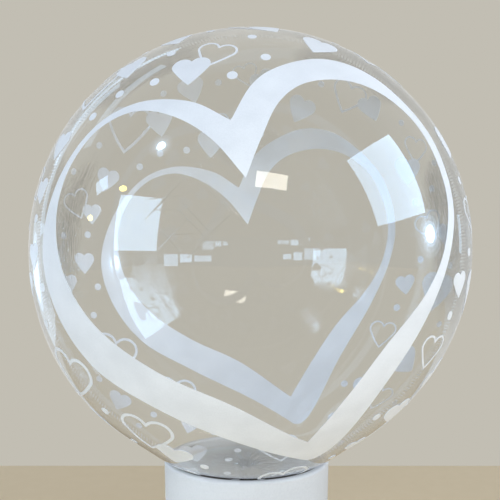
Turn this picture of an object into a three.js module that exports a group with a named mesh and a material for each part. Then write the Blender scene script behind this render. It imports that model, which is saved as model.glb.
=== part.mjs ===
// Clear bubble balloon standing in a round white pot.
// Millimetres, +Z up. The origin is on the table, straight below the middle of the balloon.
//
// The balloon is one bag of clear film, blown up round, and drawn in below to a gathered neck and a short
// tail. The bag is sealed, so it is a solid. It sits on the rim of the pot, which is hollow and open above.

import * as THREE from 'three';

// ---- balloon ----
const BALLOON_R = 225;              // blown-up radius
const SAG = 0.012;                  // extra length of the lower half, as a share of the radius
const SAG_SPREAD = 50;              // degrees from straight down over which the sag fades
const SHOULDER = 0.028;             // how far the film stands lower in a ring round the gathers, same share
const SHOULDER_ANGLE = 19;          // degrees from straight down to the middle of that ring
const SHOULDER_SPREAD = 8.5;        // degrees to each side over which it fades
const LEAN = 4;                     // how far the lower film is drawn to -X, to the middle of the pot
const LEAN_REACH = 0.95 * BALLOON_R; // depth below the balloon's middle where the lean is complete

const NECK_R = 13;                  // gathered film where the neck leaves the bag
const WAIST_R = 6.5;                // tightest place of the neck
const WAIST_DROP = 14;              // below the top of the neck
const TAIL_R = 9.5;                 // loose end of the tail
const TAIL_LENGTH = 40;             // top of the neck to the end of the tail
const PLEATS = 9;                   // folds round the neck
const PLEAT_DEPTH = 0.16;           // as a share of the neck's radius
const PLEAT_FADE = 9;               // the folds die out over this distance outside the neck

// ---- pot ----
const POT_HEIGHT = 150;
const POT_RIM_R = 86.3;             // outside, at the rim
const POT_WALL = 7.6;
const POT_FLOOR = 9;
const POT_TAPER = 1.3;              // degrees, each side, narrower below
const LIP_OUT = 3.2;                // rounding of the rim outside
const LIP_IN = 2.5;                 // rounding of the rim inside
const FOOT_ROUND = 3;               // rounding round the underside
const FLOOR_ROUND = 9;              // rounding where wall and floor meet inside

const SEAT_GAP = 0.3;               // between the film and the rim it rests on
const ROUND_SEGMENTS = 72;          // facets round each solid
const FILM_RINGS = 36;              // facets from the neck to the crown

const rad = THREE.MathUtils.degToRad;

// Distance of the film from the balloon's middle, at an angle from straight down.
function filmRadius(angle) {
  const sag = SAG * Math.exp(-((angle / SAG_SPREAD) ** 2));
  const shoulder = SHOULDER * Math.exp(-(((angle - SHOULDER_ANGLE) / SHOULDER_SPREAD) ** 2));
  return BALLOON_R * (1 + sag + shoulder);
}

// The same place as a point of the profile: x is the distance from the axis, y the height.
function filmPoint(angle) {
  const reach = filmRadius(angle);
  return new THREE.Vector2(reach * Math.sin(rad(angle)), -reach * Math.cos(rad(angle)));
}

function neckSide(top) {
  const drops = [
    [TAIL_R, TAIL_LENGTH],
    [(TAIL_R + WAIST_R) / 2, 0.65 * TAIL_LENGTH],
    [WAIST_R, WAIST_DROP],
    [NECK_R, 0],
  ];
  const side = new THREE.SplineCurve(drops.map(([r, drop]) => new THREE.Vector2(r, top - drop)));
  return side.getPoints(7);
}

// A solid of revolution round Z from a profile that starts and ends on the axis.
function turned(profile) {
  const geometry = new THREE.LatheGeometry(profile, ROUND_SEGMENTS);
  geometry.rotateX(Math.PI / 2);
  return geometry;
}

function balloonGeometry() {
  const neckAngle = THREE.MathUtils.radToDeg(Math.asin(NECK_R / filmRadius(0)));
  const neckTop = filmPoint(neckAngle).y;
  const profile = [new THREE.Vector2(0, neckTop - TAIL_LENGTH), ...neckSide(neckTop)];
  for (let ring = 1; ring <= FILM_RINGS; ring++) {
    const share = (ring / FILM_RINGS) ** 1.25; // rings lie closer together towards the neck
    profile.push(filmPoint(neckAngle + (180 - neckAngle) * share));
  }
  profile[profile.length - 1].x = 0;

  const geometry = turned(profile);
  const place = geometry.attributes.position;
  for (let i = 0; i < place.count; i++) {
    const x = place.getX(i);
    const y = place.getY(i);
    const z = place.getZ(i);
    const outside = Math.max(0, Math.hypot(x, y) - NECK_R);
    const fold = PLEAT_DEPTH * Math.exp(-((outside / PLEAT_FADE) ** 2)) * (z < 0 ? 1 : 0);
    const grow = 1 + fold * Math.cos(PLEATS * Math.atan2(y, x));
    const lean = LEAN * THREE.MathUtils.smoothstep(-z, 0, LEAN_REACH);
    place.setXY(i, x * grow - lean, y * grow);
  }
  return geometry;
}

// Points of a quarter round, from one angle to another, in degrees.
function arc(x, y, radius, from, to, steps) {
  const points = [];
  for (let i = 0; i <= steps; i++) {
    const angle = rad(from + (to - from) * (i / steps));
    points.push(new THREE.Vector2(x + radius * Math.cos(angle), y + radius * Math.sin(angle)));
  }
  return points;
}

// Outside radius of the pot at a height, and the inside radius at the same height.
const potOutside = (height) => POT_RIM_R - (POT_HEIGHT - height) * Math.tan(rad(POT_TAPER));
const potInside = (height) => potOutside(height) - POT_WALL;

function potGeometry() {
  const floorEdge = POT_FLOOR + FLOOR_ROUND;
  return turned([
    new THREE.Vector2(0, 0),
    ...arc(potOutside(FOOT_ROUND) - FOOT_ROUND, FOOT_ROUND, FOOT_ROUND, -90, 0, 3),
    ...arc(potOutside(POT_HEIGHT) - LIP_OUT, POT_HEIGHT - LIP_OUT, LIP_OUT, 0, 90, 4),
    ...arc(potInside(POT_HEIGHT) + LIP_IN, POT_HEIGHT - LIP_IN, LIP_IN, 90, 180, 4),
    ...arc(potInside(floorEdge) - FLOOR_ROUND, floorEdge, FLOOR_ROUND, 0, -90, 4),
    new THREE.Vector2(0, POT_FLOOR),
  ]);
}

// Height of the balloon's middle at which the film just clears the rounding of the rim.
function seatHeight() {
  const lipR = potInside(POT_HEIGHT) + LIP_IN;
  const lipZ = POT_HEIGHT - LIP_IN;
  const reach = LIP_IN + SEAT_GAP;
  let height = 0;
  for (let angle = 5; angle < 60; angle += 0.05) {
    const film = filmPoint(angle);
    const side = film.x - lipR;
    if (Math.abs(side) < reach) {
      height = Math.max(height, lipZ - film.y + Math.sqrt(reach ** 2 - side ** 2));
    }
  }
  return height;
}

function named(name, geometry, look) {
  const mesh = new THREE.Mesh(geometry, new THREE.MeshStandardMaterial(look));
  mesh.name = name;
  return mesh;
}

const balloon = named('balloon', balloonGeometry(), {
  color: 0xf2f6f8,
  roughness: 0.05,
  metalness: 0,
  transparent: true,
  opacity: 0.25,
});
balloon.position.z = seatHeight();

const pot = named('pot', potGeometry(), { color: 0xe6eaed, roughness: 0.55, metalness: 0 });
pot.position.x = -LEAN;

const part = new THREE.Group();
part.add(balloon, pot);

export default part;
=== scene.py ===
"""A clear bubble balloon with a white heart printed on both sheets, standing in a round white pot."""
import math
import bpy
import numpy as np
from mathutils import Matrix, Vector


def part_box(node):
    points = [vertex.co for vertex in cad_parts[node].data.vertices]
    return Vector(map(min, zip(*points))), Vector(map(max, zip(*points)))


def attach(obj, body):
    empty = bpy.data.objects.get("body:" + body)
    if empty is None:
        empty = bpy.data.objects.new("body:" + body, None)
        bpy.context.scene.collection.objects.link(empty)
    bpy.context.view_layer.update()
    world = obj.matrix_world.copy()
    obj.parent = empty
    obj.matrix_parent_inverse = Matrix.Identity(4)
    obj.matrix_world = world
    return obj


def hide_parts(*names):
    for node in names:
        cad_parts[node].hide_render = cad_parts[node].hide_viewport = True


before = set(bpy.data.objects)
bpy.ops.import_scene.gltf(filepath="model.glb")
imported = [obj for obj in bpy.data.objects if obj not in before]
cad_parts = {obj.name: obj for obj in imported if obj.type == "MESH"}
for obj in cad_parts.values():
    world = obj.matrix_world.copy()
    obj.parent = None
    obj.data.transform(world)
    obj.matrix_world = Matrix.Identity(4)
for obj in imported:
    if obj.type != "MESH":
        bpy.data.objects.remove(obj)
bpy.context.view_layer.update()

MM = 0.001
SAME_SPOT = 0.002 * MM                               # points closer than this are joined

# ---- sizes taken from the frame ----
bag_low, bag_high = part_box("balloon")
pot_low, pot_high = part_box("pot")
SOLID_R = (bag_high.x - bag_low.x) / 2
MIDDLE = Vector((0.0, 0.0, bag_high.z - SOLID_R))    # middle of the blown-up bag
INSET = 0.6 * MM                                     # the film lies this far inside the solid
POT_AXIS = (pot_low.x + pot_high.x) / 2              # the pot stands a little to -X of the bag
POT_HEIGHT = pot_high.z
POT_RIM_R = (pot_high.x - pot_low.x) / 2

# ---- the bag of film ----
FILM = 0.4 * MM
SAG = 0.012                     # extra length of the lower half, as a share of the radius
SAG_SPREAD = 50                 # degrees from straight down
SHOULDER = 0.028                # lower ring round the gathers, same share
SHOULDER_ANGLE = 19             # degrees from straight down
SHOULDER_SPREAD = 8.5
LEAN = -POT_AXIS                # how far the lower film is drawn to the middle of the pot
LEAN_REACH = 0.95 * SOLID_R
NECK_R = 12.4 * MM
WAIST_R = 6.0 * MM
WAIST_DROP = 14 * MM
TAIL_R = 9.0 * MM
TAIL_LENGTH = 40 * MM
TAIL_FLARE = 0.65               # share of the tail's length where it has opened halfway
NECK_STEPS = 8                  # facets between two places of the neck
PLEATS = 9
PLEAT_DEPTH = 0.16              # share of the neck's radius
PLEAT_FADE = 9 * MM
TUCKS = ((17, 0.07, 1.0), (29, 0.05, 2.6))   # finer folds: count round, share of the radius, turn
# Ripples in the film outside the neck: count round, height, turn.
GATHERS = ((14, 0.30 * MM, 0.4), (23, 0.26 * MM, 1.9), (37, 0.16 * MM, 3.3))
GATHER_PEAK = 8 * MM            # outside the neck, where the ripples stand highest
GATHER_FADE = 13 * MM
FILM_RINGS = 150
FILM_FACETS = 288

# ---- the looks of the film ----
FILM_BEND = 1.46                # index of refraction, of the film and of its seal
STREAKS = 95                    # fine streaks that run along the seam, in each radian towards it
STREAK_STRETCH = 9              # how much the streaks change in a metre along the seam
STREAKED_FROM = 1.02            # radians from a sheet's middle where they start
STREAKED_FULL = 1.32            # and where they are strongest
STREAKED_ABOVE = -100 * MM      # from the bag's middle; the lower film has no streaks
STREAKED_FADE = 120 * MM
STREAK_DEPTH = 1.5 * MM
WAVE_DEPTH = 0.3 * MM           # broad slight waves all over
PACKING_FOLDS = 15              # faint short creases that lie across each other on the front sheet
FOLDS_AT = Vector((-46 * MM, -215 * MM, 26 * MM))   # middle of the patch, from the bag's middle
FOLDS_ACROSS = 27 * MM          # how far the patch reaches to each side, and up and down
FOLDS_UP = 17 * MM
FOLD_TILT = 52                  # degrees from level, at most
FOLD_SHORTEST = 15              # from the middle of a fold to its end, in millimetres
FOLD_STEP = 5                   # each fold is this much longer than the one before,
FOLD_RANGE = 14                 # starting again past this much over the shortest
FOLD_EDGE = 0.35 * MM           # from the line of a fold to its edge
FOLD_RIDGE = 0.05 * MM          # and to where it is sharpest
FOLD_DEPTH = 0.05 * MM

# ---- colours: two ends between which each finish varies ----
FILM_TINTS = ((0.93, 0.936, 0.938), (0.955, 0.959, 0.96))
CREASE_SHADE_TINTS = ((0.90, 0.90, 0.89), (1, 1, 1))   # painted shade over the film's own tint, along streaks and folds, and none away from them
SEAL_TINTS = ((0.88, 0.90, 0.92), (0.98, 0.99, 1.0))
INK_TINTS = ((0.78, 0.81, 0.85), (0.87, 0.90, 0.94))
GLAZE_TINTS = ((0.59, 0.602, 0.615), (0.66, 0.67, 0.68))
# painted shade for the deep inside of the pot, dark grey-brown; not a colour of the pot itself
INSIDE_SHADE_TINTS = ((0.17, 0.155, 0.13), (0.26, 0.24, 0.205))
FLOOR_TINTS = ((0.78, 0.625, 0.40), (0.82, 0.665, 0.44))

# ---- the pot ----
POT_WALL = 7.6 * MM
POT_FLOOR = 9 * MM
POT_TAPER = 1.3                 # degrees
LIP_OUT = 3.2 * MM
LIP_IN = 2.5 * MM
FOOT_ROUND = 3 * MM
FLOOR_ROUND = 9 * MM
POT_FACETS = 256
ROUND_STEPS = 8                 # facets of each rounding, and of the smaller one at the foot
FOOT_STEPS = 6
SHADE_FROM_RIM = 10 * MM              # painted shade inside the pot begins this far below the rim
SHADE_RAMP = 14 * MM           # and is at its full darkness this far further below
SHADED_WITHIN = POT_RIM_R - POT_WALL + 0.4 * MM   # from the pot's axis; all outside this is glazed, with no painted shade
TURNING_DEPTH = 0.12 * MM       # lines of the potter's wheel
PIT_DEPTH = 0.10 * MM

# ---- the print, laid out flat in degrees of the bag from the middle of a sheet ----
INK_UNDER = 0.10 * MM           # underside and top of the ink over the film
INK_TOP = 0.30 * MM
INK_TOOTH = 0.03 * MM           # fine unevenness of its face
LINE_UNDER = 0.13 * MM          # thin lines lie within the thickness of the solid hearts
LINE_TOP = 0.27 * MM
GIVE = 0.1                      # share by which the middle of a sheet stretches less than its edge
SHEET_EDGE = 90                 # degrees from the middle of a sheet to the seam
BAND_CURVE = 24                 # facets between two of the band's places, before they are spaced evenly
BAND_LEFT = 180                 # points down the left side of the band, then down the right
BAND_RIGHT = 200
BAND_ROWS = 13                  # rows of points from its outer edge to its inner edge
FRONT_RISE = 0.85               # degrees that the front sheet's middle looks up
BACK_FALL = 6.45                # degrees that the back sheet's middle looks down

# The big heart's band, as places on its outer and inner edge, from the cleft down each side to the tip.
BAND_LEFT_OUTER = (
    (-4.5, 29.5), (-15, 35.5), (-29.5, 37), (-42.5, 31.5), (-53, 18), (-58, 0),
    (-53, -16.5), (-40.5, -31), (-22.5, -40.5), (-2, -50.5), (10, -57.5), (18, -63),
)
BAND_LEFT_INNER = (
    (-1, 15.5), (-9, 25), (-18.5, 31.5), (-29, 34.5), (-40, 31), (-48.5, 21),
    (-51.5, 7.5), (-48, -6.5), (-38, -19), (-22, -29), (-2.5, -38), (16.5, -52),
)
BAND_RIGHT_OUTER = (
    (-4.5, 29.5), (0.5, 40), (7.5, 46.5), (19, 51.5), (30, 51), (40.5, 45), (52, 32),
    (56.5, 14.5), (54, 0), (46.5, -16.5), (34.5, -37.5), (25.5, -57), (21, -62.5), (18, -63),
)
BAND_RIGHT_INNER = (
    (-1, 15.5), (2.5, 25), (7, 35), (14.5, 41.5), (26.5, 44), (38, 41), (48, 32),
    (53.5, 16), (51.5, 1.5), (45, -10.5), (33.5, -23.5), (25, -36.5), (18.5, -48), (16.5, -52),
)

# Small motifs: place, width in degrees, and tilt in degrees anticlockwise.
OUTLINE_HEARTS = (
    (-10, 51, 11.5, -20), (-49.5, 49.5, 19.5, -6), (-1.5, 73, 10.5, 18), (39.5, 63.5, 15, -27),
    (72, 10.5, 12.5, 20), (-69, 19.5, 12, 24), (68, 41.5, 11.5, -12), (51, -30, 11, -13),
    (51, -57.5, 11.5, -30), (-52, -39.5, 18, -9), (-28, -54, 16.5, -6), (12.5, -76.5, 16.5, 9),
)
SOLID_HEARTS = (
    (-15.5, 45, 10.5, 0), (-36, 53, 11, 11), (6, 70, 10.5, 30), (50, 59, 11, 15),
    (79.5, 6.5, 9.5, -8), (-62.5, 16.5, 8, 5), (19.5, 58.5, 11, -27), (-23.5, 66.5, 11, 20),
    (63, 33, 11.5, -7), (60.5, -11, 8, 5), (74, -16.5, 16, -19), (62.5, -43.5, 12.5, 36),
    (46, -52, 11, 2), (35, -64.5, 8, 2), (-57, 30, 9.5, -13), (-65, -3, 8.5, 5),
    (-72, -12.5, 8.5, 10), (-50.5, -59, 9.5, -18), (-21.5, -62.5, 11.5, -11), (-20, -78.5, 11, 11),
)
DOTS = (
    (-25, 43.5), (-4.5, 43), (4, 50), (-22.5, 55.5), (0.5, 61), (-35.5, 42), (-43.5, 36.5),
    (-35.5, 66), (-13, 70.5), (29, 70), (63, 54), (77, 37), (74, 26.5), (65.5, 21.5), (67, -1),
    (81.5, -5.5), (57, -19), (77, -29.5), (37, -48), (60, -62.5), (37, -76), (28, -68),
    (-61.5, 44.5), (-72.5, 33.5), (-75, 7.5), (-64, 9), (-59, -11), (-60.5, -22.5), (-58.5, -49.5),
    (-36, -61.5), (-42.5, -68.5), (-41.5, -47.5), (-12.5, -65.5), (-7, -82), (-3.5, -75.5),
)
DOT_WIDTH = 2.75
LINE_SHARE = 0.056              # width of an outline heart's line, as a share of the heart's width
LOBE_R = 0.27                   # the heart's round lobes, as shares of its width
LOBE_OUT = 0.23
LOBE_UP = 0.285                 # lobes above the middle between cleft and tip
TIP_DROP = 0.417
SIDE_SWELL = 0.022              # how far the sides down to the tip swell outwards
LOBE_STEPS = 16                 # facets of a lobe, of a side and round a dot
SIDE_STEPS = 7
DOT_SIDES = 16

# ---- the seam between the two sheets ----
CRIMPS = 368                    # slanting ridges that the heat seal leaves, all round
CRIMP_LENGTH = 13 * MM
CRIMP_WIDTH = 1.6 * MM
CRIMP_UNDER = 0.05 * MM
CRIMP_TOP = 0.5 * MM
CRIMP_SLANT = 82                # degrees from the run of the seam
CRIMP_SIDES = 12
# Rounding of a crimp, from its foot up: share of its outline, and share of its height.
CRIMP_ROUND = ((1, 0.0), (1, 0.4), (0.6, 0.85), (0.2, 1.0))
SEAM_START = 16                 # degrees from straight down where the crimps come clear of the gathers


# ---------------------------------------------------------------- node trees

def node(tree, kind, feeds=None, **settings):
    """Adds a node; a feed is a number, a material or another node's socket."""
    made = tree.nodes.new(kind)
    for title, value in settings.items():
        setattr(made, title, value)
    for title, feed in (feeds or {}).items():
        if isinstance(feed, bpy.types.NodeSocket):
            tree.links.new(feed, made.inputs[title])
        else:
            made.inputs[title].default_value = feed
    return made


def maths(tree, operation, *values):
    """One step of arithmetic on numbers or sockets."""
    return node(tree, "ShaderNodeMath", dict(enumerate(values)), operation=operation).outputs[0]


def geometry_tree(name, inputs):
    """A geometry tree with named inputs, each given as (title, kind, value)."""
    tree = bpy.data.node_groups.new(name, "GeometryNodeTree")
    tree.interface.new_socket("Geometry", in_out="INPUT", socket_type="NodeSocketGeometry")
    for title, kind, value in inputs:
        socket = tree.interface.new_socket(title, in_out="INPUT", socket_type="NodeSocket" + kind)
        if value is not None:
            socket.default_value = value
    tree.interface.new_socket("Geometry", in_out="OUTPUT", socket_type="NodeSocketGeometry")
    return tree, tree.nodes.new("NodeGroupInput").outputs


def finish_tree(tree, geometry, material):
    """Ends a tree: everything is made real and gets its finish."""
    real = node(tree, "GeometryNodeRealizeInstances", {"Geometry": geometry}).outputs[0]
    dressed = node(tree, "GeometryNodeSetMaterial", {"Geometry": real, "Material": material})
    end = tree.nodes.new("NodeGroupOutput")
    tree.links.new(dressed.outputs[0], end.inputs[0])


def grown(name, start, tree, **sizes):
    """Runs a geometry tree on a starting mesh and keeps the result as a plain mesh object."""
    seed = bpy.data.objects.new(name + "_start", start)
    bpy.context.scene.collection.objects.link(seed)
    modifier = seed.modifiers.new("tree", "NODES")
    modifier.node_group = tree
    for item in tree.interface.items_tree:
        title = item.name.replace(" ", "_").lower()
        if item.in_out == "INPUT" and title in sizes:
            modifier[item.identifier] = sizes[title]
    bpy.context.view_layer.update()
    shaped = seed.evaluated_get(bpy.context.evaluated_depsgraph_get())
    mesh = bpy.data.meshes.new_from_object(shaped)
    bpy.data.objects.remove(seed)
    mesh.name = name
    return mesh


def turned_tree():
    """Turns a profile, given as points from the axis down the outside, into a round shell."""
    tree, given = geometry_tree("turned", (
        ("Facets", "Int", 96), ("Axis X", "Float", 0.0), ("Finish", "Material", None)))
    facets = given["Facets"]
    count = node(tree, "GeometryNodeAttributeDomainSize", {"Geometry": given["Geometry"]})
    columns = maths(tree, "ADD", facets, 1)
    grid = node(tree, "GeometryNodeMeshGrid", {
        "Vertices X": count.outputs["Point Count"], "Vertices Y": columns})
    index = node(tree, "GeometryNodeInputIndex").outputs[0]
    ring = maths(tree, "FLOOR", maths(tree, "DIVIDE", index, columns))
    column = maths(tree, "MODULO", index, columns)
    angle = maths(tree, "DIVIDE", maths(tree, "MULTIPLY", column, math.tau), facets)
    place = node(tree, "GeometryNodeInputPosition").outputs[0]
    profile = node(tree, "GeometryNodeSampleIndex", {
        "Geometry": given["Geometry"], "Index": ring}, data_type="FLOAT_VECTOR")
    tree.links.new(place, profile.inputs["Value"])
    parts = node(tree, "ShaderNodeSeparateXYZ", {0: profile.outputs[0]})
    x = maths(tree, "MULTIPLY", parts.outputs["X"], maths(tree, "COSINE", angle))
    y = maths(tree, "MULTIPLY", parts.outputs["X"], maths(tree, "SINE", angle))
    x = maths(tree, "ADD", x, given["Axis X"])
    spot = node(tree, "ShaderNodeCombineXYZ", {"X": x, "Y": y, "Z": parts.outputs["Z"]})
    wound = node(tree, "GeometryNodeSetPosition", {"Geometry": grid.outputs[0], "Position": spot.outputs[0]})
    closed = node(tree, "GeometryNodeMergeByDistance", {
        "Geometry": wound.outputs[0], "Distance": SAME_SPOT})
    smooth = node(tree, "GeometryNodeSetShadeSmooth", {"Geometry": closed.outputs[0]})
    finish_tree(tree, smooth.outputs[0], given["Finish"])
    return tree


def strewn_tree():
    """Sets a copy of one flat motif on every point, at the point's own width and tilt."""
    tree, given = geometry_tree("strewn", (("Motif", "Object", None), ("Finish", "Material", None)))
    motif = node(tree, "GeometryNodeObjectInfo", {"Object": given["Motif"]})
    width = node(tree, "GeometryNodeInputNamedAttribute", {"Name": "width"}, data_type="FLOAT")
    tilt = node(tree, "GeometryNodeInputNamedAttribute", {"Name": "tilt"}, data_type="FLOAT")
    turn = node(tree, "ShaderNodeCombineXYZ", {"Z": tilt.outputs[0]})
    size = node(tree, "ShaderNodeCombineXYZ", {"X": width.outputs[0], "Y": width.outputs[0], "Z": 1.0})
    copies = node(tree, "GeometryNodeInstanceOnPoints", {
        "Points": given["Geometry"], "Instance": motif.outputs["Geometry"],
        "Rotation": turn.outputs[0], "Scale": size.outputs[0]})
    finish_tree(tree, copies.outputs[0], given["Finish"])
    return tree


def marched_tree():
    """Sets copies of a motif in a straight row along X, a pitch apart, each turned by the same slant."""
    tree, given = geometry_tree("marched", (
        ("Motif", "Object", None), ("Count", "Int", 10), ("Pitch", "Float", 1.0), ("Slant", "Float", 0.0),
        ("Finish", "Material", None)))
    motif = node(tree, "GeometryNodeObjectInfo", {"Object": given["Motif"]})
    step = node(tree, "ShaderNodeCombineXYZ", {"X": given["Pitch"]})
    row = node(tree, "GeometryNodeMeshLine", {"Count": given["Count"], "Offset": step.outputs[0]})
    turn = node(tree, "ShaderNodeCombineXYZ", {"Z": given["Slant"]})
    copies = node(tree, "GeometryNodeInstanceOnPoints", {
        "Points": row.outputs[0], "Instance": motif.outputs["Geometry"], "Rotation": turn.outputs[0]})
    finish_tree(tree, copies.outputs[0], given["Finish"])
    return tree


# ---------------------------------------------------------------- finishes

def new_finish(name):
    """A new material, its tree and its main shader."""
    material = bpy.data.materials.new(name)
    material.use_nodes = True
    tree = material.node_tree
    return material, tree, tree.nodes["Principled BSDF"]


def masked(tree, value, low, high):
    """0 below low, 1 above high, smooth between."""
    limits = {"Value": value, 1: low, 2: high}
    return node(tree, "ShaderNodeMapRange", limits, interpolation_type="SMOOTHSTEP").outputs[0]


def from_middle(tree, middle):
    """Object coordinates measured from a point."""
    place = node(tree, "ShaderNodeTexCoord").outputs["Object"]
    return node(tree, "ShaderNodeMapping", {"Vector": place, "Location": [-m for m in middle]}).outputs[0]


def noise(tree, place, scale, detail=2.0, rough=0.5):
    """Soft random values from 0 to 1; scale is how many changes there are in a metre."""
    feeds = {"Vector": place, "Scale": scale, "Detail": detail, "Roughness": rough}
    return node(tree, "ShaderNodeTexNoise", feeds).outputs[0]


def bump(tree, height, distance, under=None):
    """Relief as deep as distance, on top of another relief where one is given."""
    feeds = {"Height": height, "Distance": distance, "Strength": 1.0}
    if under is not None:
        feeds["Normal"] = under
    return node(tree, "ShaderNodeBump", feeds).outputs[0]


def blend_colours(tree, share, first, second):
    """From the first colour at 0 to the second at 1."""
    made = node(tree, "ShaderNodeMix", {0: share, 6: (*first, 1), 7: (*second, 1)}, data_type="RGBA")
    return made.outputs[2]


def drawn_streaks(tree, place):
    """Streaks that the stretch draws in the film along the upper seam, from 0 to 1."""
    parts = node(tree, "ShaderNodeSeparateXYZ", {0: place}).outputs
    long = node(tree, "ShaderNodeVectorMath", {0: place}, operation="LENGTH").outputs["Value"]
    facing = maths(tree, "DIVIDE", maths(tree, "ABSOLUTE", parts["Y"]), long)
    off = maths(tree, "ARCCOSINE", facing)                      # radians from the middle of either sheet
    run = node(tree, "ShaderNodeCombineXYZ", {
        "X": maths(tree, "MULTIPLY", parts["X"], STREAK_STRETCH),
        "Y": maths(tree, "MULTIPLY", off, STREAKS),
        "Z": maths(tree, "MULTIPLY", parts["Z"], STREAK_STRETCH)}).outputs[0]
    streak = noise(tree, run, 1.0, 4.0, 0.62)
    patchy = masked(tree, noise(tree, place, 7.0, 1.0), 0.36, 0.60)
    near_seam = masked(tree, off, STREAKED_FROM, STREAKED_FULL)
    upper = masked(tree, parts["Z"], STREAKED_ABOVE, STREAKED_ABOVE + STREAKED_FADE)
    strong = maths(tree, "MULTIPLY", streak, near_seam)
    return maths(tree, "MULTIPLY", strong, maths(tree, "MULTIPLY", patchy, upper))


def packing_folds(tree, place):
    """1 on smooth film, down to 0 along the line of each fold."""
    creased = 1.0
    for k in range(PACKING_FOLDS):
        tilt = math.radians(FOLD_TILT * math.sin(2.1 * k))
        end = (FOLD_SHORTEST + FOLD_STEP * k % FOLD_RANGE) * MM
        middle = FOLDS_AT + Vector((
            FOLDS_ACROSS * math.cos(2.4 * k), 0, FOLDS_UP * math.sin(1.7 * k)))
        off_line = (-math.sin(tilt), 0.1 * math.cos(k), math.cos(tilt))
        from_fold = node(tree, "ShaderNodeVectorMath", {0: place, 1: middle}, operation="SUBTRACT").outputs[0]
        away = node(tree, "ShaderNodeVectorMath", {0: from_fold, 1: off_line}, operation="DOT_PRODUCT")
        line = masked(tree, maths(tree, "ABSOLUTE", away.outputs["Value"]), FOLD_EDGE, FOLD_RIDGE)
        along = node(tree, "ShaderNodeVectorMath", {0: from_fold}, operation="LENGTH").outputs["Value"]
        fold = maths(tree, "MULTIPLY", line, masked(tree, along, end, 0.4 * end))
        creased = maths(tree, "MINIMUM", creased, maths(tree, "SUBTRACT", 1, fold))
    return creased


def clear_film():
    """Stretched clear film: glass-like, with drawn streaks towards the seam and fold marks of packing."""
    material, tree, shader = new_finish("clear_film")
    place = from_middle(tree, MIDDLE)
    drawn = drawn_streaks(tree, place)
    creased = packing_folds(tree, place)
    streaked = bump(tree, drawn, STREAK_DEPTH)
    folded = bump(tree, creased, FOLD_DEPTH, streaked)
    wavy = bump(tree, noise(tree, place, 11.0, 1.0), WAVE_DEPTH, folded)
    tree.links.new(wavy, shader.inputs["Normal"])
    clear = blend_colours(tree, noise(tree, place, 4.0, 3.0), *FILM_TINTS)
    # painted shade: the film's tint darkens along the drawn streaks and the packing folds
    crease_shade = maths(tree, "MULTIPLY", creased, maths(tree, "MULTIPLY_ADD", drawn, -0.45, 1))
    tint = blend_colours(tree, crease_shade, *CREASE_SHADE_TINTS)
    tone = node(tree, "ShaderNodeMix", {0: 1.0, 6: clear, 7: tint}, data_type="RGBA", blend_type="MULTIPLY")
    tree.links.new(tone.outputs[2], shader.inputs["Base Color"])
    dull = maths(tree, "MULTIPLY", drawn, 0.08)
    tree.links.new(dull, shader.inputs["Roughness"])
    shader.inputs["IOR"].default_value = FILM_BEND
    shader.inputs["Transmission Weight"].default_value = 1.0
    return material


def sealed_film():
    """Film melted together in the seal: cloudier than the rest."""
    material, tree, shader = new_finish("sealed_film")
    place = from_middle(tree, MIDDLE)
    tint = blend_colours(tree, noise(tree, place, 260.0, 2.0), *SEAL_TINTS)
    tree.links.new(tint, shader.inputs["Base Color"])
    rough = maths(tree, "MULTIPLY_ADD", noise(tree, place, 400.0, 1.0), 0.3, 0.15)
    tree.links.new(rough, shader.inputs["Roughness"])
    shader.inputs["IOR"].default_value = FILM_BEND
    shader.inputs["Transmission Weight"].default_value = 0.5
    return material


def white_ink():
    """Screen ink: satin, slightly uneven in cover, with a fine tooth."""
    material, tree, shader = new_finish("white_ink")
    place = from_middle(tree, MIDDLE)
    broad = maths(tree, "MULTIPLY", noise(tree, place, 30.0, 4.0), 0.65)
    cover = maths(tree, "MULTIPLY_ADD", noise(tree, place, 900.0, 2.0), 0.35, broad)
    tint = blend_colours(tree, masked(tree, cover, 0.3, 0.7), *INK_TINTS)
    tree.links.new(tint, shader.inputs["Base Color"])
    rough = maths(tree, "MULTIPLY_ADD", cover, 0.25, 0.28)
    tree.links.new(rough, shader.inputs["Roughness"])
    tooth = bump(tree, noise(tree, place, 1500.0, 2.0), INK_TOOTH)
    tree.links.new(tooth, shader.inputs["Normal"])
    return material


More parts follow.
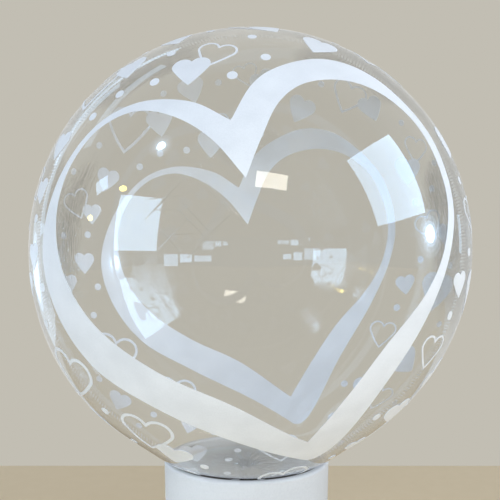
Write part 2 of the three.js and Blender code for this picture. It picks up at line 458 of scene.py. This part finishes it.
def matt_ceramic():
    """Matt white glaze with faint pits and turning lines; deep inside the pot, a dark grey-brown painted
    shade replaces it.
    """
    material, tree, shader = new_finish("matt_ceramic")
    place = node(tree, "ShaderNodeTexCoord").outputs["Object"]
    grain = noise(tree, place, 480.0, 3.0, 0.6)
    fine = maths(tree, "MULTIPLY", grain, 0.4)
    tone = maths(tree, "MULTIPLY_ADD", noise(tree, place, 14.0, 3.0), 0.6, fine)
    glazed = blend_colours(tree, masked(tree, tone, 0.32, 0.68), *GLAZE_TINTS)
    # painted shade, for the dark deep inside of the pot
    painted_shade = blend_colours(tree, tone, *INSIDE_SHADE_TINTS)
    parts = node(tree, "ShaderNodeSeparateXYZ", {0: place}).outputs
    across = maths(tree, "POWER", maths(tree, "SUBTRACT", parts["X"], POT_AXIS), 2)
    from_axis = maths(tree, "SQRT", maths(tree, "ADD", across, maths(tree, "POWER", parts["Y"], 2)))
    within = maths(tree, "LESS_THAN", from_axis, SHADED_WITHIN)
    shade_from = POT_HEIGHT - SHADE_FROM_RIM
    below_rim = masked(tree, parts["Z"], shade_from, shade_from - SHADE_RAMP)
    above_floor = maths(tree, "GREATER_THAN", parts["Z"], POT_FLOOR / 2)
    # inside the pot, from a little below the rim down to its floor, the painted shade takes the place of the
    # glaze
    inside = maths(tree, "MULTIPLY", maths(tree, "MULTIPLY", within, below_rim), above_floor)
    tint = node(tree, "ShaderNodeMix", {0: inside, 6: glazed, 7: painted_shade}, data_type="RGBA").outputs[2]
    tree.links.new(tint, shader.inputs["Base Color"])
    rough = maths(tree, "MULTIPLY_ADD", grain, 0.2, 0.42)
    tree.links.new(rough, shader.inputs["Roughness"])
    rings = node(tree, "ShaderNodeMapping", {"Vector": place, "Scale": (2.0, 2.0, 260.0)}).outputs[0]
    turning = bump(tree, noise(tree, rings, 1.0, 2.0), TURNING_DEPTH)
    pitted = bump(tree, grain, PIT_DEPTH, turning)
    tree.links.new(pitted, shader.inputs["Normal"])
    return material


def pale_floor():
    """Pale dull table top, faintly uneven."""
    material, tree, shader = new_finish("pale_floor")
    place = node(tree, "ShaderNodeTexCoord").outputs["Object"]
    tint = blend_colours(tree, noise(tree, place, 40.0, 4.0), *FLOOR_TINTS)
    tree.links.new(tint, shader.inputs["Base Color"])
    shader.inputs["Roughness"].default_value = 0.7
    return material


# ---------------------------------------------------------------- shape of the bag

def bag_reach(angle):
    """Distance of the film from the bag's middle, at an angle in degrees from straight down."""
    sag = SAG * np.exp(-(angle / SAG_SPREAD) ** 2)
    shoulder = SHOULDER * np.exp(-((angle - SHOULDER_ANGLE) / SHOULDER_SPREAD) ** 2)
    return SOLID_R * (1 + sag + shoulder) - INSET


def drawn_in(points):
    """Pleats the film round the neck and leans its lower half towards the pot's axis."""
    x, y, z = points.T
    round_neck = np.arctan2(y, x)
    outside = np.maximum(0, np.hypot(x, y) - NECK_R)
    fold = PLEAT_DEPTH * np.cos(PLEATS * round_neck)
    for count, depth, turn in TUCKS:
        fold = fold + depth * np.cos(count * round_neck + turn)
    grow = 1 + fold * np.exp(-(outside / PLEAT_FADE) ** 2) * (z < 0)
    climb = outside / GATHER_PEAK * np.exp(1 - outside / GATHER_PEAK)
    fade = np.exp(-(outside - GATHER_PEAK) / GATHER_FADE)
    ripple = np.where(outside > GATHER_PEAK, fade, climb) * (z < 0)
    lift = sum(ripple * height * np.cos(count * round_neck + turn) for count, height, turn in GATHERS)
    share = np.clip(-z / LEAN_REACH, 0, 1)
    lean = LEAN * share ** 2 * (3 - 2 * share)
    return np.stack([x * grow - lean, y * grow, z + lift], axis=1) + np.array(MIDDLE)


def catmull(points, steps):
    """A smooth line through the points, ending on the first and the last."""
    points = np.array(points, float)
    padded = np.vstack([2 * points[0] - points[1], points, 2 * points[-1] - points[-2]])
    line = []
    for i in range(len(points) - 1):
        before, start, end, after = padded[i:i + 4]
        for t in np.arange(steps) / steps:
            line.append(0.5 * (
                2 * start + (end - before) * t + (2 * before - 5 * start + 4 * end - after) * t ** 2
                + (3 * start - before - 3 * end + after) * t ** 3))
    line.append(points[-1])
    return np.array(line)


def arc(x, y, radius, start, end, steps):
    """Points round a centre, from one angle to another in degrees."""
    turn = np.radians(np.linspace(start, end, steps + 1))
    return np.stack([x + radius * np.cos(turn), y + radius * np.sin(turn)], axis=1)


def mesh_of(name, points, faces=()):
    """A mesh of the points and faces."""
    mesh = bpy.data.meshes.new(name)
    mesh.from_pydata([tuple(p) for p in points], [], [tuple(f) for f in faces])
    mesh.update()
    return mesh


def placed(mesh, points):
    """Moves the corners of a mesh to the points."""
    mesh.vertices.foreach_set("co", np.asarray(points, np.float32).ravel())
    mesh.update()


def corners_of(mesh):
    """The corners of a mesh as rows of x, y, z."""
    points = np.zeros(len(mesh.vertices) * 3, np.float32)
    mesh.vertices.foreach_get("co", points)
    return points.reshape(-1, 3).astype(float)


def piece(name, mesh, slot, *nodes):
    """Puts a finished mesh into the scene as a piece of the object."""
    made = bpy.data.objects.new(name, mesh)
    bpy.context.scene.collection.objects.link(made)
    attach(made, "root")
    if nodes:
        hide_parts(*nodes)
    return made


def bag_profile():
    """Down the outside of the film from the crown to the end of the tail, and back up inside."""
    neck_angle = math.degrees(math.asin(NECK_R / bag_reach(0)))
    angles = np.linspace(180, neck_angle, FILM_RINGS)
    turns = np.radians(angles)
    wall = []
    for depth in (0, FILM):
        reach = bag_reach(angles) - depth
        ball = np.stack([reach * np.sin(turns), -reach * np.cos(turns)], axis=1)
        ball[0, 0] = 0
        top = ball[-1, 1]
        neck = catmull((
            (NECK_R - depth, top),
            (WAIST_R - depth, top - WAIST_DROP),
            ((TAIL_R + WAIST_R) / 2 - depth, top - TAIL_FLARE * TAIL_LENGTH),
            (TAIL_R - depth, top - TAIL_LENGTH + depth),
        ), NECK_STEPS)
        wall.append(np.vstack([ball, neck[1:]]))
    return np.vstack([wall[0], wall[1][::-1]])


def bag(turned, film):
    """The shell of film with its neck and tail."""
    profile = bag_profile()
    start = mesh_of("profile", [(r, 0, z) for r, z in profile])
    mesh = grown("bag", start, turned, facets=FILM_FACETS, finish=film)
    placed(mesh, drawn_in(corners_of(mesh)))
    made = piece("bag", mesh, "film", "balloon")
    made.visible_shadow = False
    made.visible_diffuse = False
    return made


# ---------------------------------------------------------------- the print

def heart_edge():
    """A small heart one wide, as flat points anticlockwise from the cleft: two round lobes and a tip."""
    cleft = math.degrees(math.acos(LOBE_OUT / LOBE_R))
    far = math.hypot(LOBE_OUT, LOBE_UP + TIP_DROP)
    steep = math.degrees(math.atan2(LOBE_UP + TIP_DROP, LOBE_OUT))
    leave = 360 - steep - math.degrees(math.acos(LOBE_R / far))
    lobe = arc(-LOBE_OUT, LOBE_UP, LOBE_R, cleft, leave, LOBE_STEPS)
    share = np.linspace(0, 1, SIDE_STEPS + 1)[1:, None]
    tip = np.array((0, -TIP_DROP))
    along = (tip - lobe[-1]) / np.linalg.norm(tip - lobe[-1])
    swell = 4 * SIDE_SWELL * share * (1 - share) * (along[1], -along[0])
    side = lobe[-1] * (1 - share) + tip * share + swell
    left = np.vstack([lobe, side])
    return np.vstack([left, (left[1:-1] * (-1, 1))[::-1]])


def dot_edge():
    """A round dot one wide."""
    turn = np.arange(DOT_SIDES) / DOT_SIDES * math.tau
    return np.stack([np.cos(turn), np.sin(turn)], axis=1) / 2


def inset(edge, width):
    """The same closed line moved inwards by a width, with sharp corners kept sharp."""
    ahead = np.roll(edge, -1, axis=0) - edge
    ahead /= np.linalg.norm(ahead, axis=1)[:, None]
    left = np.stack([-ahead[:, 1], ahead[:, 0]], axis=1)
    corner = left + np.roll(left, 1, axis=0)
    stretch = np.maximum((corner ** 2).sum(axis=1), 0.5)
    return edge + corner * (2 * width / stretch)[:, None]


def plate(name, rings, under, top, filled):
    """A thin closed plate between the first ring of flat points and the last, or up to the middle."""
    count = len(rings[0])
    flat = np.vstack(rings)
    if filled:
        flat = np.vstack([flat, rings[-1].mean(axis=0)])
    layer = len(flat)
    points = [(x, y, lift) for lift in (top, under) for x, y in flat]
    faces = []
    for k in range(len(rings) - 1):
        for i in range(count):
            a, b = k * count + i, k * count + (i + 1) % count
            c, d = b + count, a + count
            faces.append((a, b, c, d))
            faces.append((layer + d, layer + c, layer + b, layer + a))
    last = (len(rings) - 1) * count
    for i in range(count):
        j = (i + 1) % count
        faces.append((layer + i, layer + j, j, i))
        if filled:
            faces.append((last + i, last + j, layer - 1))
            faces.append((layer + last + j, layer + last + i, 2 * layer - 1))
        else:
            faces.append((last + i, last + j, layer + last + j, layer + last + i))
    return mesh_of(name, points, faces)


def evenly(line, count):
    """The same open line as evenly spaced points."""
    run = np.concatenate([[0], np.cumsum(np.linalg.norm(np.diff(line, axis=0), axis=1))])
    at = np.linspace(0, run[-1], count)
    return np.stack([np.interp(at, run, line[:, k]) for k in (0, 1)], axis=1)


def band_plate():
    """The band of the big heart, from its outer edge to its inner edge."""
    edges = []
    for left, right in ((BAND_LEFT_OUTER, BAND_RIGHT_OUTER), (BAND_LEFT_INNER, BAND_RIGHT_INNER)):
        down = evenly(catmull(left, BAND_CURVE), BAND_LEFT)
        up = evenly(catmull(right, BAND_CURVE), BAND_RIGHT)[::-1]
        edges.append(np.vstack([down[:-1], up[:-1]]))
    shares = np.linspace(0, 1, BAND_ROWS)
    return plate("band", [edges[0] * (1 - s) + edges[1] * s for s in shares], INK_UNDER, INK_TOP, False)


def motif_object(name, mesh):
    """An object that a tree copies; it is taken away afterwards."""
    made = bpy.data.objects.new(name, mesh)
    bpy.context.scene.collection.objects.link(made)
    return made


def strewn(name, tree, motif, places, ink):
    """Copies of a flat motif at each (x, y, width, tilt), still flat."""
    start = mesh_of(name + "_places", [(x, y, 0) for x, y, _, _ in places])
    for title, column, unit in (("width", 2, 1), ("tilt", 3, math.radians(1))):
        values = start.attributes.new(title, "FLOAT", "POINT")
        values.data.foreach_set("value", [place[column] * unit for place in places])
    return grown(name, start, tree, motif=motif, finish=ink)


def flat_print(tree, ink):
    """The whole print laid out flat: the band and every small motif, joined."""
    heart = heart_edge()
    rings = [heart * share for share in (1, 0.75, 0.5, 0.25)]
    line = [inset(heart, LINE_SHARE * share) for share in (0, 0.5, 1)]
    dot = dot_edge()
    motifs = (
        ("solid_heart", plate("solid_heart", rings, INK_UNDER, INK_TOP, True), SOLID_HEARTS),
        ("outline_heart", plate("outline_heart", line, LINE_UNDER, LINE_TOP, False), OUTLINE_HEARTS),
        ("dot", plate("dot", [dot, dot * 0.5], INK_UNDER, INK_TOP, True),
         [(x, y, DOT_WIDTH, 0) for x, y in DOTS]),
    )
    band = band_plate()
    band.materials.append(ink)
    meshes = [band]
    for name, mesh, places in motifs:
        motif = motif_object(name, mesh)
        meshes.append(strewn(name + "s", tree, motif, places, ink))
        bpy.data.objects.remove(motif)
    return meshes


def pressed_on(points, out, up):
    """Wraps flat points round the bag: x and y in degrees from the middle of a sheet, z over the film."""
    right = np.array([1.0, 0.0, 0.0])
    flat = np.hypot(points[:, 0], points[:, 1])
    turn = np.radians(flat * (1 - GIVE + GIVE * (flat / SHEET_EDGE) ** 2))
    lean = np.arctan2(points[:, 1], points[:, 0])
    way = (np.cos(turn)[:, None] * out + (np.sin(turn) * np.cos(lean))[:, None] * right
           + (np.sin(turn) * np.sin(lean))[:, None] * up)
    angle = np.degrees(np.arccos(np.clip(-way[:, 2], -1, 1)))
    return drawn_in(way * (bag_reach(angle) + points[:, 2])[:, None])


def sheet_print(name, meshes, side, rise):
    """One sheet's print: side is -1 for the front sheet and 1 for the back one."""
    tip_up = math.radians(rise)
    out = np.array([0.0, side * math.cos(tip_up), math.sin(tip_up)])
    up = np.array([0.0, -side * math.sin(tip_up), math.cos(tip_up)])
    points, faces = [], []
    for mesh in meshes:
        start = sum(len(p) for p in points)
        points.append(pressed_on(corners_of(mesh), out, up))
        for polygon in mesh.polygons:
            corners = [start + v for v in polygon.vertices]
            faces.append(corners if side < 0 else corners[::-1])
    mesh = mesh_of(name, np.vstack(points), faces)
    mesh.materials.append(meshes[0].materials[0])
    return piece(name, mesh, "film")


def crimp():
    """One ridge of the heat seal, long in X, on its own origin."""
    turn = np.arange(CRIMP_SIDES) / CRIMP_SIDES * math.tau
    oval = np.stack([np.cos(turn) * CRIMP_LENGTH / 2, np.sin(turn) * CRIMP_WIDTH / 2], axis=1)
    points, faces = [], []
    for share, height in CRIMP_ROUND:
        lift = CRIMP_UNDER + (CRIMP_TOP - CRIMP_UNDER) * height
        points += [(x * share, y * share, lift) for x, y in oval]
    for level in range(len(CRIMP_ROUND) - 1):
        for i in range(CRIMP_SIDES):
            a = level * CRIMP_SIDES + i
            b = level * CRIMP_SIDES + (i + 1) % CRIMP_SIDES
            faces.append((a, b, b + CRIMP_SIDES, a + CRIMP_SIDES))
    faces.append(range(len(points) - CRIMP_SIDES, len(points)))
    faces.append(range(CRIMP_SIDES - 1, -1, -1))
    return mesh_of("crimp", points, faces)


def seam(tree, sealed):
    """The seal between the sheets: a straight row of crimps, wrapped round the inside of the bag."""
    motif = motif_object("crimp", crimp())
    run = math.radians(360 - 2 * SEAM_START) * SOLID_R
    start = mesh_of("seam_start", [(0, 0, 0)])
    mesh = grown("seam", start, tree, motif=motif, count=CRIMPS, pitch=run / (CRIMPS - 1),
                 slant=math.radians(CRIMP_SLANT), finish=sealed)
    bpy.data.objects.remove(motif)
    along, across, lift = corners_of(mesh).T
    turn = along / SOLID_R + math.radians(SEAM_START)
    way = np.stack([np.sin(turn), -across / SOLID_R, -np.cos(turn)], axis=1)
    angle = np.degrees(np.minimum(turn, math.tau - turn))
    placed(mesh, drawn_in(way * (bag_reach(angle) - FILM - lift)[:, None]))
    return piece("seam", mesh, "film")


# ---------------------------------------------------------------- the pot

def pot(turned, ceramic):
    """The hollow pot, turned from one profile: inside from the middle of its floor, then down outside."""
    def outside(height):
        return POT_RIM_R - (POT_HEIGHT - height) * math.tan(math.radians(POT_TAPER))

    def inside(height):
        return outside(height) - POT_WALL

    floor_edge = POT_FLOOR + FLOOR_ROUND
    profile = np.vstack([
        [(0, POT_FLOOR), (0.5 * inside(floor_edge), POT_FLOOR)],
        arc(inside(floor_edge) - FLOOR_ROUND, floor_edge, FLOOR_ROUND, -90, 0, ROUND_STEPS),
        arc(inside(POT_HEIGHT) + LIP_IN, POT_HEIGHT - LIP_IN, LIP_IN, 180, 90, ROUND_STEPS),
        arc(outside(POT_HEIGHT) - LIP_OUT, POT_HEIGHT - LIP_OUT, LIP_OUT, 90, 0, ROUND_STEPS),
        arc(outside(FOOT_ROUND) - FOOT_ROUND, FOOT_ROUND, FOOT_ROUND, 0, -90, FOOT_STEPS),
        [(0.5 * outside(0), 0), (0, 0)],
    ])
    start = mesh_of("pot_profile", [(r, 0, z) for r, z in profile])
    mesh = grown("ceramic_pot", start, turned, facets=POT_FACETS, axis_x=POT_AXIS, finish=ceramic)
    return piece("ceramic_pot", mesh, "pot", "pot")


# ---------------------------------------------------------------- camera, lights, floor

CAMERA_DISTANCE = 793.7 * MM
CAMERA_RISE = 0.85              # degrees above the bag's middle
CAMERA_AIM = Vector((-0.4 * MM, 0, -1.3 * MM))  # from the bag's middle
CAMERA_NEAR = 50 * MM           # it sees nothing nearer than this
FOCAL = 54.2                    # millimetres
FLOOR_EDGE = 458 * MM           # the floor ends this far behind the origin
FLOOR_REACH = 3.0               # and this far in front and to each side


def direction(azimuth, rise):
    """Away from the bag's middle: azimuth 0 is towards the camera, 90 towards +X."""
    a, e = math.radians(azimuth), math.radians(rise)
    return Vector((math.sin(a) * math.cos(e), -math.cos(a) * math.cos(e), math.sin(e)))


def camera():
    """The view from the front, a little above the bag's middle."""
    data = bpy.data.cameras.new("camera")
    data.lens = FOCAL
    data.clip_start = CAMERA_NEAR
    made = bpy.data.objects.new("camera", data)
    made.location = MIDDLE + direction(0, CAMERA_RISE) * CAMERA_DISTANCE
    made.rotation_euler = (MIDDLE + CAMERA_AIM - made.location).to_track_quat("-Z", "Y").to_euler()
    bpy.context.scene.collection.objects.link(made)
    bpy.context.scene.camera = made


def panel(name, azimuth, rise, distance, width, height, turn, glow, tint, shape="RECTANGLE"):
    """A soft panel of light facing the bag; glow is how bright its face looks."""
    data = bpy.data.lights.new(name, "AREA")
    data.shape = shape
    data.size = width
    data.size_y = height
    face = width * height * (math.pi / 4 if shape == "ELLIPSE" else 1)
    data.energy = glow * math.pi * face
    data.color = tint
    made = bpy.data.objects.new(name, data)
    out = direction(azimuth, rise)
    facing = out.to_track_quat("Z", "Y") @ Matrix.Rotation(math.radians(turn), 3, "Z").to_quaternion()
    made.location = MIDDLE + out * distance
    made.rotation_euler = facing.to_euler()
    bpy.context.scene.collection.objects.link(made)
    made.visible_camera = False
    made.visible_diffuse = False
    return made


COOL = (0.50, 0.73, 1.0)
WARM = (1.0, 0.95, 0.82)
AMBER = (1.0, 0.83, 0.18)

# name, azimuth, rise, distance, width, height, turn, glow, tint
WINDOWS = (
    ("window_right", 74, 25.3, 1.8, 1.03, 0.93, 5, 6.0, COOL),
    ("window_left", -52.6, 10.8, 1.8, 0.71, 0.68, 0, 6.8, COOL),
    ("skylight", -78.1, 22.9, 2.0, 0.18, 0.22, -52, 5.0, COOL),
    ("ceiling_lamp", 10.4, 30.9, 2.0, 0.47, 0.25, -10, 7.0, WARM),
    ("far_window_1", -35.6, -3.8, 2.5, 0.29, 0.22, 0, 4.4, COOL),
    ("far_window_2", -28.6, -3.2, 2.5, 0.24, 0.15, 0, 5.5, COOL),
    ("far_window_3", -21.1, -3.4, 2.5, 0.33, 0.11, 0, 4.0, COOL),
    ("far_window_4", 16.1, -2.5, 2.5, 0.155, 0.095, 0, 4.6, COOL),
    ("far_window_5", 20.8, -2.3, 2.5, 0.176, 0.15, 0, 4.6, COOL),
    ("far_window_6", 27.3, -1.4, 2.5, 0.32, 0.21, 0, 3.6, COOL),
    ("side_window", -126.6, -7, 2.0, 0.7, 0.9, 0, 0.6, COOL),
    ("strip_low", -128, 22, 2.2, 0.20, 1.6, 20, 0.8, COOL),
    ("strip_mid", -140, 34, 2.2, 0.14, 1.5, 32, 1.0, COOL),
    ("strip_high", -118, 44, 2.2, 0.20, 1.3, 40, 0.9, COOL),
    ("strip_right", 123, 3, 2.2, 0.14, 0.34, -8, 0.9, COOL),
)
# The same, for round lamps; the white ones have soft halos behind them.
LAMPS = (
    ("lamp_left", -53.9, 43.1, 2.0, 0.13, 0.13, 0, 45, COOL),
    ("lamp_right", 92.4, 4.8, 2.0, 0.24, 0.20, 0, 12, COOL),
    ("lamp_side", -131, -5, 2.0, 0.14, 0.20, 0, 1.6, COOL),
    ("amber_left", -64.6, 23.6, 2.0, 0.15, 0.08, 0, 14, AMBER),
    ("amber_far_left", -79.8, 11, 2.0, 0.12, 0.07, 0, 12, AMBER),
)
HALOS = ((1.5, 1.9), (2.1, 1.0), (2.8, 0.6))    # size, as a share of the lamp's own, and glow
HALO_BEHIND = 0.005                  # a halo as wide as its lamp stands this share further away
# Light that isn't mirrored: it and the plain room light the ink, the pot and the floor.
FILLS = (
    ("sky_fill", 20, 40, 2.6, 3.0, 2.0, 0, 0.42, (0.60, 0.78, 1.0)),
    ("ceiling_fill", 0, 86, 2.6, 2.5, 2.5, 0, 0.45, (0.86, 0.91, 1.0)),
    ("front_fill", 2, 3, 6.5, 7.5, 1.5, 0, 5.7, (0.84, 0.93, 1.0)),
    ("left_fill", -92, 6, 6.5, 7.5, 1.5, 0, 2.6, (0.42, 0.68, 1.0)),
    ("right_fill", 70, 8, 6.5, 7.5, 1.5, 0, 4.8, (0.90, 0.95, 1.0)),
    ("low_left_fill", -48, -21, 0.62, 0.42, 0.14, 0, 1.3, (0.70, 0.86, 1.0)),
)
POT_FILL = ("pot_fill", -58, 0, 0.7, 0.30, 0.12, 0, 0.50, (0.86, 0.94, 1.0))
POT_FILL_HEIGHT = 170 * MM           # this one is narrow and low, beside the left of the pot
POT_FILL_SPREAD = 30                 # degrees
POT_FILL_AIM = Vector((POT_AXIS - 40 * MM, 0, 70 * MM))
BACKDROP = (0.539, 0.515, 0.451)     # plain wall behind the object
ROOM = (0.41, 0.43, 0.47)            # the plain room that lights it
MIRRORED_FRONT = (0.16, 0.17, 0.18)  # what the film mirrors of the room, before it and behind it
MIRRORED_BACK = (0.80, 0.81, 0.80)
MIRRORED_FADE = (-0.35, 0.75)        # Y of the direction where the second starts, and where it is alone


def lit_only(lamp):
    """Lets a lamp light matt surfaces without showing in the film."""
    lamp.visible_diffuse = True
    lamp.visible_glossy = False
    lamp.visible_transmission = False


def lights():
    """Windows and lamps that the film mirrors, and fills that light the rest."""
    for settings in WINDOWS:
        panel(*settings)
    for name, azimuth, rise, distance, width, height, turn, glow, tint in LAMPS:
        panel(name, azimuth, rise, distance, width, height, turn, glow, tint, "ELLIPSE")
        halos = () if tint is AMBER else HALOS
        for size, soft in halos:
            behind = distance * (1 + HALO_BEHIND * size)
            panel(name + "_halo", azimuth, rise, behind, width * size, height * size, turn,
                  soft, tint, "ELLIPSE")
    for settings in FILLS:
        lit_only(panel(*settings))
    beside_pot = panel(*POT_FILL)
    beside_pot.location.z = POT_FILL_HEIGHT
    beside_pot.rotation_euler = (beside_pot.location - POT_FILL_AIM).to_track_quat("Z", "Y").to_euler()
    beside_pot.data.spread = math.radians(POT_FILL_SPREAD)
    lit_only(beside_pot)


def room():
    """A plain backdrop, a plain light all round, and plain tones for the film to mirror."""
    made = bpy.data.worlds.new("room")
    made.use_nodes = True
    tree = made.node_tree
    ray = node(tree, "ShaderNodeLightPath").outputs
    way = node(tree, "ShaderNodeTexCoord").outputs["Generated"]
    behind = masked(tree, node(tree, "ShaderNodeSeparateXYZ", {0: way}).outputs["Y"], *MIRRORED_FADE)
    mirrored = blend_colours(tree, behind, MIRRORED_FRONT, MIRRORED_BACK)
    lit = blend_colours(tree, ray["Is Diffuse Ray"], BACKDROP, ROOM)
    glossy = maths(tree, "GREATER_THAN", ray["Is Glossy Ray"], ray["Is Transmission Ray"])
    colour = node(tree, "ShaderNodeMix", {0: glossy, 6: lit, 7: mirrored}, data_type="RGBA").outputs[2]
    tree.links.new(colour, tree.nodes["Background"].inputs["Color"])
    bpy.context.scene.world = made


def floor():
    """The table top that the pot stands on; it is no part of the object."""
    corners = [
        (-FLOOR_REACH, -FLOOR_REACH, 0), (FLOOR_REACH, -FLOOR_REACH, 0),
        (FLOOR_REACH, FLOOR_EDGE, 0), (-FLOOR_REACH, FLOOR_EDGE, 0)]
    made = bpy.data.objects.new("floor", mesh_of("floor", corners, [(0, 1, 2, 3)]))
    made.data.materials.append(pale_floor())
    bpy.context.scene.collection.objects.link(made)


camera()
lights()
room()
floor()
turned = turned_tree()
strew = strewn_tree()
film = clear_film()
ink = white_ink()
bag(turned, film)
seam(marched_tree(), sealed_film())
flat = flat_print(strew, ink)
sheet_print("front_print", flat, -1, FRONT_RISE)
sheet_print("back_print", flat, 1, -BACK_FALL)
pot(turned, matt_ceramic())
bpy.context.scene.view_settings.view_transform = "Standard"
